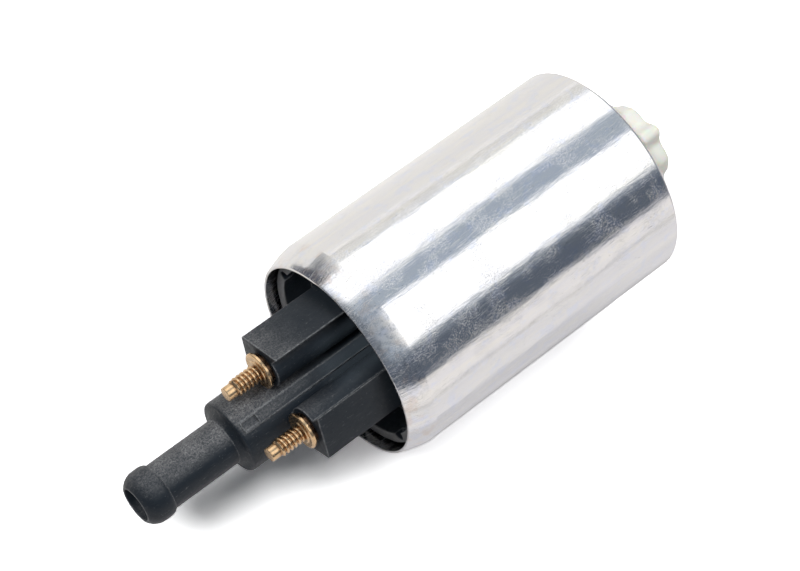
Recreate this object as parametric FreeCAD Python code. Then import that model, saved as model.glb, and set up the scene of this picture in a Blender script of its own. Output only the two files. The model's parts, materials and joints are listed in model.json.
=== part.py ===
import FreeCAD
import Part
import math
import os

# In-tank fuel pump: a rolled aluminium shell round a small DC motor and a gerotor pump.
# Millimetres. The X axis is the pump's axis, the outlet barb towards -X and the inlet towards +X.
# +Z is up, on the side of the two terminal studs. The origin is the middle of the shell.

# Shell
shell_length = 57.0
shell_radius = 19.0
shell_wall = 0.8
rim_drop = 1.3
neck_length = 4.6
neck_bulge = 0.14
rim_edge_round = 0.12
rear_edge_round = 0.2
rear_lip_width = 2.4

# Clearances
seat_gap = 0.05
shaft_gap = 0.03
mesh_gap = 0.07
slide_gap = 0.15
brush_gap = 0.1
end_gap = 0.05

# How far a cutting or joined solid runs past the face that it meets
past = 1.0

# Outlet cover: skirt, recess and web behind the mouth of the shell
skirt_setback = 2.3
skirt_inset = 0.6
skirt_flare = 0.5
skirt_wall = 1.65
recess_depth = 5.4
notch_count = 9
notch_radius = 1.3
notch_depth = 1.6
lug_angle = 66.0
lug_half_angle = 5.0
lug_height = 2.1
lug_setback = 0.4
flange_setback = 0.5
web_thickness = 4.3

# Outlet cover: hub, hose barb and rib
hub_radius = 6.3
hub_reach = 20.9
hub_nose = 1.5
hub_shoulder = 0.6
hub_nose_share = 0.62
tube_radius = 4.0
barb_bore_radius = 2.9
barb_length = 18.45
bead_radius = 4.55
bead_tip_radius = 3.2
bead_heel_radius = 4.25
bead_nose_length = 2.5
bead_land = 1.0
bead_length = 4.5
rib_width = 2.0
rib_top = 6.6
rib_setback = 0.3
rib_window_length = 2.7
rib_window_depth = 0.4
rib_window_width = 1.4
rib_window_setback = 0.4

# Outlet cover: the two bosses that carry the terminal studs
stud_y = 5.6
stud_z = 8.4
boss_reach = 12.7
boss_corner_inset = 5.4
boss_corner_z = 7.9
boss_top_y = 5.3
boss_top_inset = 2.3
boss_inner_y = 2.6
boss_step_z = 5.0
boss_foot_y = 5.5
boss_foot_z = 0.1
boss_edge_round = 0.4
post_radius = 3.5

# Terminal studs
stud_thread_radius = 1.5
stud_thread_length = 4.8
stud_tip_radius = 1.2
stud_tip_length = 1.3
stud_flange_radius = 3.15
stud_flange_thickness = 0.8
stud_collar_radius = 2.65
stud_collar_length = 0.7
stud_shank_radius = 1.6

# Seals
seal_wire_radius = 0.9
seal_groove_width = 2.2
cover_seal_setback = 3.4
inlet_seal_setback = 2.0

# Terminal straps, brush holder and brushes
strap_thickness = 0.6
strap_width = 2.8
strap_eye_wall = 0.8
strap_end_wall = 0.4
holder_thickness = 2.6
brush_inset = 2.4
brush_radial = 4.0
brush_width = 5.0
brush_length = 5.2
brush_tube_wall = 0.8
brush_tube_length = 5.8
holder_clearance = 0.5
plenum_radius = 6.8
plenum_depth = 2.4
flow_hole_radius = 0.8
flow_hole_circle = 5.5
flow_hole_count = 6
brush_spring_radius = 1.5
brush_spring_wire = 0.2
brush_spring_turns = 4

# Bearings and shaft
shaft_radius = 2.0
shaft_setback = 0.4
shaft_overrun = 2.0
bearing_radius = 3.8
bearing_wall_radius = 4.3
upper_bearing_length = 4.6
lower_bearing_length = 4.4
washer_thickness = 0.5
washer_radius = 3.4

# Armature
commutator_radius = 11.4
commutator_hole = 5.2
bar_count = 8
bar_thickness = 1.2
bar_slit = 0.5
commutator_disc = 1.6
commutator_sleeve_radius = 3.6
air_gap = 0.5
core_setback = 3.9
core_end_setback = 4.5
slot_depth = 3.6
slot_radius = 1.9
slot_mouth = 1.2
insulator_thickness = 0.4
insulator_inset = 0.4
winding_inset = 1.3
winding_inner = 4.6
winding_length = 2.8
winding_round = 1.1

# Field: flux ring, magnets and their spring clips
flux_ring_thickness = 1.8
magnet_thickness = 3.6
magnet_overhang = 2.0
magnet_half_angle = 61.0
clip_thickness = 0.5
clip_inset = 1.5
clip_leg_inset = 0.8
clip_gap_angle = 0.3

# Gerotor pump
port_plate_thickness = 3.5
rotor_thickness = 4.0
rotor_end_gap = 0.03
inner_teeth = 6
eccentricity = 0.9
lobe_inset = 1.6
lobe_ratio = 0.26
rotor_ring_wall = 6.55
rotor_bore_radius = 3.3
key_radius = 4.5
key_width = 1.6
port_half_angle = 55.0
port_depth = 1.9
port_margin = 0.4
inner_profile_steps = 12

# Inlet body
flange_thickness = 3.6
drum_inset = 2.2
drum_length = 3.8
drum_round = 0.5
crown_inset = 0.8
crown_width = 13.0
crown_length = 5.3
crown_cut_y = 1.5
crown_cut_z = 2.5
tongue_inset = 1.2
tongue_width = 4.6
tongue_tip_width = 1.4
tongue_setback = 0.6
inlet_bore_radius = 3.6
inlet_bore_start = 1.4
inlet_bore_wall = 0.8
spout_wall = 1.0
spout_length = 2.2
pad_radius = 2.6
pad_thickness = 1.0

# Relief valve in the inlet body
relief_hole_radius = 1.1
relief_wall = 0.7
relief_ball_radius = 1.4
relief_chamber_radius = 1.7
relief_boss_wall = 0.9
relief_seat_depth = 0.9
relief_spring_radius = 1.1
relief_spring_wire = 0.15
relief_spring_length = 3.2
relief_spring_turns = 4
relief_vent_radius = 0.6

# Check valve in the hub of the cover
valve_chamber_radius = 4.2
valve_reach = 9.0
valve_seat_thickness = 2.0
valve_seat_hole = 2.2
poppet_radius = 3.5
poppet_thickness = 1.8
poppet_nose_length = 0.8
poppet_nose_gap = 0.3
poppet_fin_width = 0.9
poppet_fin_count = 4
valve_spring_length = 5.4
valve_spring_radius = 3.2
valve_spring_wire = 0.25
valve_spring_turns = 5

# Places along the axis, worked out from the sizes above
front_x = -shell_length / 2
rear_x = shell_length / 2
crease_x = front_x + neck_length
skirt_x = front_x + skirt_setback
flange_x = crease_x + flange_setback
floor_x = skirt_x + recess_depth
web_x = floor_x + web_thickness
strap_x = web_x - strap_thickness
hub_x = front_x - hub_reach
tip_x = hub_x - barb_length
boss_x = front_x - boss_reach
holder_x = web_x + holder_thickness
brush_x = holder_x + brush_tube_length
bars_x = brush_x + holder_clearance
hub_disc_x = bars_x + bar_thickness
core_x = hub_disc_x + commutator_disc + core_setback
body_x = rear_x - shell_wall
drum_x = body_x + drum_length
rotor_x = body_x - flange_thickness
plate_x = rotor_x - rotor_thickness
field_end_x = plate_x - port_plate_thickness
core_end_x = field_end_x - core_end_setback
valve_x = front_x - valve_reach
poppet_x = valve_x + valve_spring_length
valve_seat_x = poppet_x + poppet_thickness + end_gap

# Radii, heights and sideways places that follow from the sizes above
bore_radius = shell_radius - shell_wall
seat_radius = bore_radius - seat_gap
seal_radius = seat_radius - seal_wire_radius
rim_radius = shell_radius - rim_drop
rim_bore_radius = rim_radius - shell_wall
rear_lip_radius = shell_radius - rear_lip_width
skirt_radius = rim_radius - skirt_inset
recess_radius = skirt_radius - skirt_wall
boss_corner_y = rim_bore_radius - boss_corner_inset
boss_top_z = rim_bore_radius - boss_top_inset
brush_y = commutator_radius - brush_inset
magnet_radius = seat_radius - flux_ring_thickness - seat_gap
magnet_inner_radius = magnet_radius - magnet_thickness
core_radius = magnet_inner_radius - air_gap
slot_circle = core_radius - slot_depth
insulator_radius = core_radius - insulator_inset
winding_outer = core_radius - winding_inset
outer_rotor_radius = seat_radius - rotor_ring_wall
lobe_circle = outer_rotor_radius - lobe_inset
lobe_radius = lobe_circle * lobe_ratio
drum_radius = rear_lip_radius - drum_inset
crown_radius = rear_lip_radius - crown_inset
tongue_radius = shell_radius - tongue_inset
inlet_bore_z = -(pad_radius + inlet_bore_wall + inlet_bore_radius)
relief_z = -(outer_rotor_radius + relief_wall + relief_hole_radius)


def vec(x, y, z):
    return FreeCAD.Vector(x, y, z)


def cyl(x0, x1, radius, y=0.0, z=0.0):
    return Part.makeCylinder(radius, x1 - x0, vec(x0, y, z), vec(1, 0, 0))


def tube(x0, x1, outer, inner, y=0.0, z=0.0):
    return cyl(x0, x1, outer, y, z).cut(cyl(x0 - past, x1 + past, inner, y, z))


def box(x0, x1, y0, y1, z0, z1):
    return Part.makeBox(x1 - x0, y1 - y0, z1 - z0, vec(x0, y0, z0))


def prism(points, x0, x1):
    corners = [vec(x0, y, z) for y, z in points]
    face = Part.Face(Part.makePolygon(corners + corners[:1]))
    return face.extrude(vec(x1 - x0, 0, 0))


def spin(start, steps):
    """Solid of revolution about X. A step is the next point (x, r), or (middle, end) of an arc."""
    edges = []
    last = vec(start[0], start[1], 0)
    for step in steps:
        if isinstance(step[0], tuple):
            middle = vec(step[0][0], step[0][1], 0)
            end = vec(step[1][0], step[1][1], 0)
            edges.append(Part.Arc(last, middle, end).toShape())
        else:
            end = vec(step[0], step[1], 0)
            edges.append(Part.makeLine(last, end))
        last = end
    first = vec(start[0], start[1], 0)
    if last.distanceToPoint(first) > 1e-6:
        edges.append(Part.makeLine(last, first))
    return Part.Face(Part.Wire(edges)).revolve(vec(0, 0, 0), vec(1, 0, 0), 360)


def corner(x, r, radius, sign_x, sign_r):
    """Middle point of a rounded outer corner at (x, r) whose material lies towards the two signs."""
    inset = radius * (1 - math.sqrt(0.5))
    return (x + sign_x * inset, r + sign_r * inset)


def ring_places(count, radius, first=0.0):
    for i in range(count):
        angle = math.radians(first + 360.0 * i / count)
        yield angle, radius * math.cos(angle), radius * math.sin(angle)


def turn(shape, degrees):
    copy = shape.copy()
    copy.rotate(vec(0, 0, 0), vec(1, 0, 0), degrees)
    return copy


def mirror(shape):
    return shape.mirror(vec(0, 0, 0), vec(0, 1, 0))


def sector(x0, x1, inner, outer, centre, half):
    """Part of a ring from centre - half to centre + half degrees, counted from +Y towards +Z."""
    a = math.radians(centre - half)
    b = math.radians(centre + half)
    m = math.radians(centre)
    place = lambda r, t: vec(x0, r * math.cos(t), r * math.sin(t))
    edges = [
        Part.Arc(place(outer, a), place(outer, m), place(outer, b)).toShape(),
        Part.makeLine(place(outer, b), place(inner, b)),
        Part.Arc(place(inner, b), place(inner, m), place(inner, a)).toShape(),
        Part.makeLine(place(inner, a), place(outer, a)),
    ]
    return Part.Face(Part.Wire(edges)).extrude(vec(x1 - x0, 0, 0))


def biarc(p0, t0, p1, t1):
    """Two tangent arcs from p0 to p1 with the end directions t0 and t1."""
    chord = p1 - p0
    both = t0 + t1
    k = 2 * (1 - t0.dot(t1))
    reach = (-chord.dot(both) + math.sqrt(chord.dot(both) ** 2 + k * chord.dot(chord))) / k
    apex0 = p0 + t0 * reach
    apex1 = p1 - t1 * reach
    join = (apex0 + apex1) * 0.5
    edges = []
    for begin, apex, end in ((p0, apex0, join), (join, apex1, p1)):
        out = (begin - apex).normalize() + (end - apex).normalize()
        half = 0.5 * (begin - apex).getAngle(end - apex)
        out.normalize()
        middle = apex + out * (reach / math.cos(half) - reach * math.tan(half))
        edges.append(Part.Arc(begin, middle, end).toShape())
    return edges


def coil(name, x0, x1, radius, wire, turns, y=0.0, z=0.0):
    """Compression spring between the planes x0 and x1, its wire touching both."""
    start = x0 + wire
    rise = (x1 - x0 - 2 * wire) / turns
    steps = 4 * turns
    points = []
    ways = []
    for i in range(steps + 1):
        t = math.pi / 2 * i
        points.append(vec(start + rise * i / 4, y + radius * math.cos(t), z + radius * math.sin(t)))
        way = vec(rise / (2 * math.pi), -radius * math.sin(t), radius * math.cos(t))
        ways.append(way.normalize())
    edges = []
    for i in range(steps):
        edges += biarc(points[i], ways[i], points[i + 1], ways[i + 1])
    section = Part.Wire(Part.makeCircle(wire, points[0], ways[0]))
    body = Part.Wire(edges).makePipeShell([section], True, False)
    print(name, "least gap between turns", round(rise - 2 * wire, 2))
    return body


def save(name, shape):
    shape.exportStep("parts/" + name + ".step")
    print(name, len(shape.Solids), round(shape.Volume, 2), shape.isValid())


# Shell


def neck_middle():
    """Point halfway along the bulged neck line, before the wall is taken off."""
    return ((front_x + crease_x) / 2, (rim_radius + shell_radius) / 2 + neck_bulge)


def make_shell():
    middle = neck_middle()
    edge = rear_edge_round
    rim = rim_edge_round
    inner_rim = rim_bore_radius
    return spin(
        (front_x, rim_radius - rim),
        [
            (corner(front_x, rim_radius, rim, 1, -1), (front_x + rim, rim_radius)),
            (middle, (crease_x, shell_radius)),
            (rear_x - edge, shell_radius),
            (corner(rear_x, shell_radius, edge, -1, -1), (rear_x, shell_radius - edge)),
            (rear_x, rear_lip_radius),
            (body_x, rear_lip_radius),
            (body_x, bore_radius),
            (crease_x, bore_radius),
            ((middle[0], middle[1] - shell_wall), (front_x + rim, inner_rim)),
            (corner(front_x, inner_rim, rim, 1, 1), (front_x, inner_rim + rim)),
        ],
    )


# Outlet cover


def crest_middle(x, r, crest_x, crest_r):
    """Middle point of the arc between (x, r) and a crest, where it runs level."""
    run = abs(crest_x - x)
    rise = crest_r - r
    radius = (run**2 + rise**2) / (2 * rise)
    half = math.asin(run / radius) / 2
    reach = math.copysign(radius * math.sin(half), x - crest_x)
    return (crest_x + reach, crest_r - radius * (1 - math.cos(half)))


def barb():
    """Rounded bead, tube and hub, with the bore and the chamber of the check valve."""
    nose_end = tip_x + bead_nose_length
    land_end = nose_end + bead_land
    bead_end = tip_x + bead_length
    nose_arc = crest_middle(tip_x, bead_tip_radius, nose_end, bead_radius)
    heel_arc = crest_middle(bead_end, bead_heel_radius, land_end, bead_radius)
    nose_top = hub_radius - hub_shoulder
    slope = nose_top - tube_radius
    nose_middle = (hub_x - hub_nose * hub_nose_share, tube_radius + slope * (1 - hub_nose_share))
    return spin(
        (tip_x, barb_bore_radius),
        [
            (tip_x, bead_tip_radius),
            (nose_arc, (nose_end, bead_radius)),
            (land_end, bead_radius),
            (heel_arc, (bead_end, bead_heel_radius)),
            (bead_end, tube_radius),
            (hub_x - hub_nose, tube_radius),
            (nose_middle, (hub_x - hub_shoulder, nose_top)),
            (corner(hub_x - hub_shoulder, hub_radius, hub_shoulder, 1, -1), (hub_x, hub_radius)),
            (floor_x + past, hub_radius),
            (floor_x + past, valve_chamber_radius),
            (valve_x, valve_chamber_radius),
            (valve_x, barb_bore_radius),
        ],
    )


def boss():
    """Boss of one stud on the +Y side: a flat sloping flank outside, a step down inside."""
    outline = [
        (boss_corner_y, boss_corner_z),
        (boss_top_y, boss_top_z),
        (boss_top_y, stud_z),
        (boss_inner_y, stud_z),
        (boss_inner_y, boss_step_z),
        (boss_foot_y, boss_foot_z),
    ]
    block = prism(outline, boss_x, floor_x + past)
    sharp = [e for e in block.Edges if abs(e.tangentAt(e.FirstParameter).x) > 0.9]
    corner_edge = Part.Vertex(boss_x, boss_corner_y, boss_corner_z)
    outer = [e for e in sharp if e.distToShape(corner_edge)[0] < boss_edge_round]
    block = block.makeFillet(boss_edge_round, outer)
    post = cyl(boss_x, floor_x + past, post_radius, stud_y, stud_z)
    return block.fuse(post)


def cover_openings():
    """Everything cut from the cover: stud holes, check valve chamber, plenum and strap recesses."""
    stud_hole = cyl(boss_x - past, web_x + past, stud_shank_radius, stud_y, stud_z)
    strap_recess = strap_outline(strap_x, web_x + past)
    return [
        cyl(valve_x, web_x + past, valve_chamber_radius),
        cyl(web_x - plenum_depth, web_x + past, plenum_radius),
        stud_hole,
        mirror(stud_hole),
        strap_recess,
        mirror(strap_recess),
    ]


def make_outlet_cover():
    body = spin(
        (skirt_x, 0),
        [
            (skirt_x, skirt_radius),
            (flange_x - (seat_radius - skirt_radius) * skirt_flare, skirt_radius),
            (flange_x, seat_radius),
            (web_x, seat_radius),
            (web_x, 0),
        ],
    )
    recess = cyl(skirt_x - past, floor_x, recess_radius)
    for _, y, z in ring_places(notch_count, recess_radius, 90 + 180 / notch_count):
        recess = recess.fuse(cyl(skirt_x - past, skirt_x + notch_depth, notch_radius, y, z))
    body = body.cut(recess)
    half_rib = rib_width / 2
    rib = box(hub_x + rib_setback, floor_x + past, -half_rib, half_rib, hub_radius - past, rib_top)
    window_x = hub_x + rib_window_setback
    window = box(
        window_x,
        window_x + rib_window_length,
        -rib_window_width / 2,
        rib_window_width / 2,
        rib_top - rib_window_depth,
        rib_top + past,
    )
    side = boss()
    key = sector(
        skirt_x + lug_setback,
        floor_x + past,
        recess_radius - lug_height,
        recess_radius + past,
        90 - lug_angle,
        lug_half_angle,
    )
    body = body.fuse([barb(), rib, side, mirror(side), key, mirror(key)]).removeSplitter()
    body = body.cut(window)
    for cut in cover_openings():
        body = body.cut(cut)
    return body.cut(seal_groove(flange_x + cover_seal_setback))


def seal_groove(middle_x):
    half = seal_groove_width / 2
    return tube(middle_x - half, middle_x + half, seat_radius + past, seat_radius - 2 * seal_wire_radius)


def make_seal(middle_x):
    return Part.makeTorus(seal_radius, seal_wire_radius, vec(middle_x, 0, 0), vec(1, 0, 0))


# Terminals and brushes


def make_stud():
    collar_x = boss_x - stud_collar_length
    neck_x = collar_x - stud_flange_thickness
    tip = neck_x - stud_thread_length
    end = tip - stud_tip_length
    body = cyl(end, tip + past, stud_tip_radius, stud_y, stud_z)
    body = body.fuse(cyl(tip, neck_x, stud_thread_radius, stud_y, stud_z))
    body = body.fuse(cyl(neck_x, collar_x, stud_flange_radius, stud_y, stud_z))
    body = body.fuse(cyl(collar_x - past, boss_x, stud_collar_radius, stud_y, stud_z))
    body = body.fuse(cyl(boss_x, web_x, stud_shank_radius, stud_y, stud_z))
    return body


def strap_outline(x0, x1):
    """Flat strip from the stud's inner end to the middle of the brush bore, with round ends."""
    way = vec(0, brush_y - stud_y, -stud_z)
    side = vec(0, -way.z, way.y).normalize() * (strap_width / 2)
    a = vec(x0, stud_y, stud_z)
    b = vec(x0, brush_y, 0)
    face = Part.Face(Part.makePolygon([a + side, b + side, b - side, a - side, a + side]))
    strip = face.extrude(vec(x1 - x0, 0, 0))
    strip = strip.fuse(cyl(x0, x1, stud_shank_radius + strap_eye_wall, stud_y, stud_z))
    return strip.fuse(cyl(x0, x1, brush_spring_radius + strap_end_wall, brush_y)).removeSplitter()


def make_strap():
    eye = cyl(strap_x - past, web_x + past, stud_shank_radius, stud_y, stud_z)
    return strap_outline(strap_x, web_x).cut(eye)


def brush_hole(gap, x0, x1):
    half_y = brush_radial / 2 + gap
    half_z = brush_width / 2 + gap
    return box(x0, x1, brush_y - half_y, brush_y + half_y, -half_z, half_z)


def make_brush_holder():
    plate = cyl(web_x, holder_x, seat_radius)
    plate = plate.fuse(cyl(holder_x, web_x + upper_bearing_length, bearing_wall_radius))
    chimney = brush_hole(brush_gap + brush_tube_wall, holder_x - past, brush_x)
    hole = brush_hole(brush_gap, web_x - past, brush_x + past)
    body = plate.fuse([chimney, mirror(chimney)])
    body = body.cut(hole).cut(mirror(hole))
    body = body.cut(cyl(web_x - past, brush_x, bearing_radius))
    for _, y, z in ring_places(flow_hole_count, flow_hole_circle, 30):
        body = body.cut(cyl(web_x - past, holder_x + past, flow_hole_radius, y, z))
    return body


def make_brush():
    x1 = bars_x - end_gap
    return brush_hole(0, x1 - brush_length, x1)


def make_brush_spring(name):
    x1 = bars_x - end_gap - brush_length
    return coil(name, web_x, x1, brush_spring_radius, brush_spring_wire, brush_spring_turns, brush_y)


# Bearings, washer and shaft


def make_upper_bearing():
    return tube(web_x, web_x + upper_bearing_length, bearing_radius, shaft_radius + shaft_gap)


def make_lower_bearing():
    return tube(plate_x - lower_bearing_length, plate_x, bearing_radius, shaft_radius + shaft_gap)


def washer_place():
    return web_x + upper_bearing_length + end_gap


def make_thrust_washer():
    x0 = washer_place()
    return tube(x0, x0 + washer_thickness, washer_radius, shaft_radius)


def make_shaft():
    return cyl(web_x + shaft_setback, pad_place() - end_gap, shaft_radius)


def pad_place():
    return rotor_x + shaft_overrun


def make_thrust_pad():
    return cyl(pad_place(), pad_place() + pad_thickness, pad_radius)


# Armature


def make_commutator_hub():
    sleeve_x = washer_place() + washer_thickness
    body = cyl(hub_disc_x, hub_disc_x + commutator_disc, commutator_radius)
    body = body.fuse(cyl(sleeve_x, core_x - insulator_thickness, commutator_sleeve_radius))
    return body.cut(cyl(sleeve_x - past, core_x, shaft_radius))


def make_commutator_bars():
    half = 180.0 / bar_count
    slit = math.degrees(bar_slit / 2 / commutator_radius)
    bars = []
    for i in range(bar_count):
        centre = i * 360.0 / bar_count
        bars.append(sector(bars_x, hub_disc_x, commutator_hole, commutator_radius, centre, half - slit))
    return Part.makeCompound(bars)


def make_armature_core():
    body = tube(core_x, core_end_x, core_radius, shaft_radius)
    first = 180.0 / bar_count
    x0 = core_x - past
    x1 = core_end_x + past
    mouth = box(x0, x1, slot_circle, core_radius + past, -slot_mouth / 2, slot_mouth / 2)
    slot = cyl(x0, x1, slot_radius, slot_circle).fuse(mouth)
    for i in range(bar_count):
        body = body.cut(turn(slot, first + i * 360.0 / bar_count))
    return body


def winding_bars(x0, x1, radius):
    places = ring_places(bar_count, slot_circle, 180.0 / bar_count)
    return [cyl(x0, x1, radius, y, z) for _, y, z in places]


def make_insulator(x0):
    disc = tube(x0, x0 + insulator_thickness, insulator_radius, shaft_radius)
    for bar in winding_bars(x0 - past, x0 + insulator_thickness + past, slot_radius):
        disc = disc.cut(bar)
    return disc


def winding_end(near, far):
    """Rounded bundle of end turns from the plane near to the plane far."""
    way = 1 if far > near else -1
    bulge = winding_round
    return spin(
        (near, winding_inner),
        [
            (near, winding_outer),
            (far - way * bulge, winding_outer),
            (corner(far, winding_outer, bulge, -way, -1), (far, winding_outer - bulge)),
            (far, winding_inner + bulge),
            (corner(far, winding_inner, bulge, -way, 1), (far - way * bulge, winding_inner)),
        ],
    )


def make_windings():
    front = core_x - insulator_thickness
    rear = core_end_x + insulator_thickness
    body = winding_end(front, front - winding_length)
    body = body.fuse(winding_end(rear, rear + winding_length))
    return body.fuse(winding_bars(front - past, rear + past, slot_radius - seat_gap))


# Field


def make_flux_ring():
    return tube(holder_x, field_end_x, seat_radius, seat_radius - flux_ring_thickness)


def make_magnet(centre):
    x0 = core_x - magnet_overhang
    x1 = core_end_x + magnet_overhang
    return sector(x0, x1, magnet_inner_radius, magnet_radius, centre, magnet_half_angle)


def make_magnet_clip(centre):
    x0 = core_x - magnet_overhang + clip_inset
    x1 = core_end_x + magnet_overhang - clip_inset
    half = 90.0 - magnet_half_angle - clip_gap_angle
    leg = math.degrees(clip_thickness / 2 / magnet_radius)
    strip = sector(x0, x1, magnet_radius - clip_thickness, magnet_radius, centre, half)
    for side in (-1, 1):
        edge = centre + side * (half - leg)
        strip = strip.fuse(sector(x0, x1, magnet_inner_radius + clip_leg_inset, magnet_radius, edge, leg))
    return strip.removeSplitter()


# Gerotor pump


def lobe_places():
    return ring_places(inner_teeth + 1, lobe_circle)


def inner_point(t, offset):
    """Point of the inner rotor: the trochoid of a lobe's centre, moved in by the lobe's radius."""
    n = inner_teeth + 1
    y = lobe_circle * math.cos(t) + eccentricity * math.cos(n * t)
    z = lobe_circle * math.sin(t) + eccentricity * math.sin(n * t)
    dy = -lobe_circle * math.sin(t) - eccentricity * n * math.sin(n * t)
    dz = lobe_circle * math.cos(t) + eccentricity * n * math.cos(n * t)
    length = math.hypot(dy, dz)
    return y - offset * dz / length, z + offset * dy / length


def rotor_ends():
    return plate_x + rotor_end_gap, rotor_x - rotor_end_gap


def keys(x0, x1):
    return box(x0, x1, -key_radius, key_radius, -key_width / 2, key_width / 2)


def make_inner_rotor():
    x0, x1 = rotor_ends()
    count = inner_teeth * inner_profile_steps
    points = []
    for i in range(count):
        y, z = inner_point(2 * math.pi * i / count, lobe_radius + mesh_gap)
        points.append(vec(x0, y, z))
    curve = Part.BSplineCurve()
    curve.interpolate(Points=points, PeriodicFlag=True)
    body = Part.Face(Part.Wire(curve.toShape())).extrude(vec(x1 - x0, 0, 0))
    body = body.cut(cyl(x0 - past, x1 + past, rotor_bore_radius))
    return body.cut(keys(x0 - past, x1 + past))


def make_drive_coupling():
    x0, x1 = rotor_ends()
    body = cyl(x0, x1, rotor_bore_radius).fuse(keys(x0, x1))
    return body.cut(cyl(x0 - past, x1 + past, shaft_radius))


def make_outer_rotor():
    x0, x1 = rotor_ends()
    root = lobe_circle + 2 * eccentricity - lobe_radius + mesh_gap
    hollow = cyl(x0 - past, x1 + past, root, eccentricity)
    for _, y, z in lobe_places():
        hollow = hollow.cut(cyl(x0 - 2 * past, x1 + 2 * past, lobe_radius, eccentricity + y, z))
    return cyl(x0, x1, outer_rotor_radius, eccentricity).cut(hollow)


def relief_channel(x0, x1):
    return cyl(x0, x1, relief_hole_radius, 0, relief_z)


def make_rotor_ring():
    pocket = cyl(plate_x - past, rotor_x + past, outer_rotor_radius + shaft_gap, eccentricity)
    body = cyl(plate_x, rotor_x, seat_radius).cut(pocket)
    return body.cut(relief_channel(plate_x - past, rotor_x + past))


def port(x0, x1, centre):
    """Kidney port over the rotor's chambers on one side of the line of centres."""
    inner = lobe_circle - eccentricity - lobe_radius
    outer = lobe_circle + eccentricity - lobe_radius + port_margin
    return sector(x0, x1, inner, outer, centre, port_half_angle)


def make_port_plate():
    body = cyl(field_end_x, plate_x, seat_radius)
    body = body.cut(cyl(field_end_x - past, plate_x + past, bearing_radius))
    body = body.cut(port(field_end_x - past, plate_x + past, 90))
    return body.cut(relief_channel(field_end_x - past, plate_x + past))


# Inlet body


def relief_seat_x():
    return rotor_x + relief_seat_depth


def ball_x():
    """Centre of the ball, resting on the edge of its seat."""
    drop = math.sqrt(relief_ball_radius**2 - relief_hole_radius**2)
    return relief_seat_x() + drop + end_gap


def relief_spring_x():
    return ball_x() + math.sqrt(relief_ball_radius**2 - relief_spring_radius**2) + relief_spring_wire


def relief_plug_x():
    return relief_spring_x() + relief_spring_length


def crown():
    """Raised block on the top of the drum with a narrow tongue that reaches over the shell's rim."""
    half = crown_width / 2
    end = body_x + crown_length
    shoulder = math.sqrt(crown_radius**2 - (half - crown_cut_y) ** 2)
    outline = [
        (half, 0),
        (half, shoulder - crown_cut_z),
        (half - crown_cut_y, shoulder),
        (half - crown_cut_y, crown_radius),
        (crown_cut_y - half, crown_radius),
        (crown_cut_y - half, shoulder),
        (-half, shoulder - crown_cut_z),
        (-half, 0),
    ]
    block = prism(outline, body_x, end).common(cyl(body_x, end, crown_radius))
    foot = tongue_width / 2
    tip = tongue_tip_width / 2
    root = crown_radius - past
    wedge = [(foot, root), (tip, tongue_radius), (-tip, tongue_radius), (-foot, root)]
    return block.fuse(prism(wedge, rear_x + tongue_setback, end))


def make_inlet_body():
    body = spin(
        (rotor_x, 0),
        [
            (rotor_x, seat_radius),
            (body_x, seat_radius),
            (body_x, rear_lip_radius - seat_gap),
            (rear_x, rear_lip_radius - seat_gap),
            (rear_x, drum_radius),
            (drum_x - drum_round, drum_radius),
            (corner(drum_x, drum_radius, drum_round, -1, -1), (drum_x, drum_radius - drum_round)),
            (drum_x, 0),
        ],
    )
    spout_x = drum_x + spout_length
    spout = cyl(drum_x - past, spout_x, inlet_bore_radius + spout_wall, 0, inlet_bore_z)
    bore = cyl(rotor_x + inlet_bore_start, spout_x + past, inlet_bore_radius, 0, inlet_bore_z)
    relief_boss = cyl(body_x, drum_x, relief_chamber_radius + relief_boss_wall, 0, relief_z)
    body = body.fuse([crown(), spout, relief_boss])
    body = body.cut(bore).cut(port(rotor_x - past, rotor_x + port_depth, -90))
    body = body.cut(cyl(rotor_x - past, pad_place() + pad_thickness, pad_radius))
    body = body.cut(relief_channel(rotor_x - past, relief_seat_x() + past))
    body = body.cut(cyl(relief_seat_x(), drum_x + past, relief_chamber_radius, 0, relief_z))
    return body.cut(seal_groove(rotor_x + inlet_seal_setback))


def make_relief_ball():
    return Part.makeSphere(relief_ball_radius, vec(ball_x(), 0, relief_z))


def make_relief_spring(name):
    x0 = relief_spring_x()
    x1 = relief_plug_x()
    return coil(name, x0, x1, relief_spring_radius, relief_spring_wire, relief_spring_turns, 0, relief_z)


def make_relief_plug():
    body = cyl(relief_plug_x(), drum_x, relief_chamber_radius, 0, relief_z)
    return body.cut(cyl(relief_plug_x() - past, drum_x + past, relief_vent_radius, 0, relief_z))


# Check valve


def make_valve_spring(name):
    return coil(name, valve_x, poppet_x, valve_spring_radius, valve_spring_wire, valve_spring_turns)


def make_poppet():
    end = poppet_x + poppet_thickness
    body = cyl(poppet_x, end, poppet_radius)
    half = poppet_fin_width / 2
    reach = valve_chamber_radius - slide_gap
    for i in range(poppet_fin_count):
        fin = box(poppet_x, end, poppet_radius - past, reach, -half, half)
        body = body.fuse(turn(fin, 45 + i * 360.0 / poppet_fin_count))
    return body.fuse(cyl(end - past, end + poppet_nose_length, valve_seat_hole - poppet_nose_gap))


def make_valve_seat():
    return tube(valve_seat_x, valve_seat_x + valve_seat_thickness, valve_chamber_radius, valve_seat_hole)


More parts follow.
